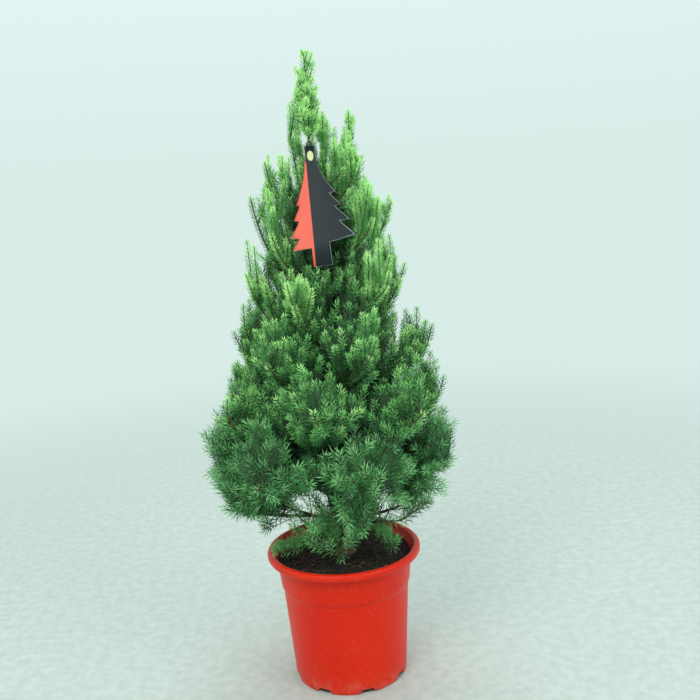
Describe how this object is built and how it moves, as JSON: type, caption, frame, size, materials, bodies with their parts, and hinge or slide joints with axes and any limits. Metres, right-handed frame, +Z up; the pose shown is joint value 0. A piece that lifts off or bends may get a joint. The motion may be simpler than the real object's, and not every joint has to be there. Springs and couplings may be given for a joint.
{
  "type": "potted dwarf spruce",
  "caption": "Small conical spruce in a round nursery pot, with an upright trunk, whorls of short-needled shoots to the soil and a plain hang tag near the tip.",
  "frame": {"origin": "centre of the pot's flat underside, where it stands", "axes": "+Z up along the trunk, -Y towards the front, where the tag hangs"},
  "size_m": [0.3842, 0.3757, 0.933],
  "materials": {
    "pot": "thin moulded plastic with a soft sheen",
    "soil": "moist dark peat with pale fibres",
    "bark": "rough scaly bark",
    "old_needles": "deep green needles with a waxy sheen",
    "young_needles": "fresh light green needles",
    "tag": "plain printed card-like plastic"
  },
  "bodies": {
    "root": {"candle_mass_1": "young_needles", "candle_mass_2": "young_needles", "candle_mass_3": "young_needles", "candle_mass_4": "young_needles", "candle_mass_5": "young_needles", "care_tag": "tag", "crest_mass_1": "young_needles", "crest_mass_2": "young_needles", "crest_mass_3": "young_needles", "crest_mass_4": "young_needles", "crest_mass_5": "young_needles", "crest_mass_6": "young_needles", "leader_mass_1": "young_needles", "lower_mass_1": "old_needles", "lower_mass_2": "old_needles", "lower_mass_3": "old_needles", "lower_mass_4": "old_needles", "lower_mass_5": "old_needles", "lower_mass_6": "old_needles", "lower_mass_7": "old_needles", "middle_mass_1": "old_needles", "middle_mass_2": "old_needles", "middle_mass_3": "old_needles", "middle_mass_4": "old_needles", "middle_mass_5": "old_needles", "middle_mass_6": "old_needles", "middle_mass_7": "old_needles", "pot": "pot", "shoulder_mass_1": "old_needles", "shoulder_mass_2": "old_needles", "shoulder_mass_3": "old_needles", "shoulder_mass_4": "old_needles", "shoulder_mass_5": "old_needles", "shoulder_mass_6": "old_needles", "skirt_bough_1": "bark", "skirt_bough_2": "bark", "skirt_bough_3": "bark", "skirt_bough_4": "bark", "skirt_bough_5": "bark", "skirt_bough_6": "bark", "skirt_bough_7": "bark", "skirt_mass_1": "old_needles", "skirt_mass_2": "old_needles", "skirt_mass_3": "old_needles", "skirt_mass_4": "old_needles", "skirt_mass_5": "old_needles", "skirt_mass_6": "old_needles", "skirt_mass_7": "old_needles", "soil": "soil", "sprig_mass_1": "old_needles", "sprig_mass_2": "old_needles", "sprig_mass_3": "old_needles", "tag_loop": "tag", "trunk": "bark", "upper_mass_1": "old_needles", "upper_mass_2": "old_needles", "upper_mass_3": "old_needles", "upper_mass_4": "old_needles", "upper_mass_5": "old_needles", "upper_mass_6": "old_needles"}
  },
  "joints": []
}
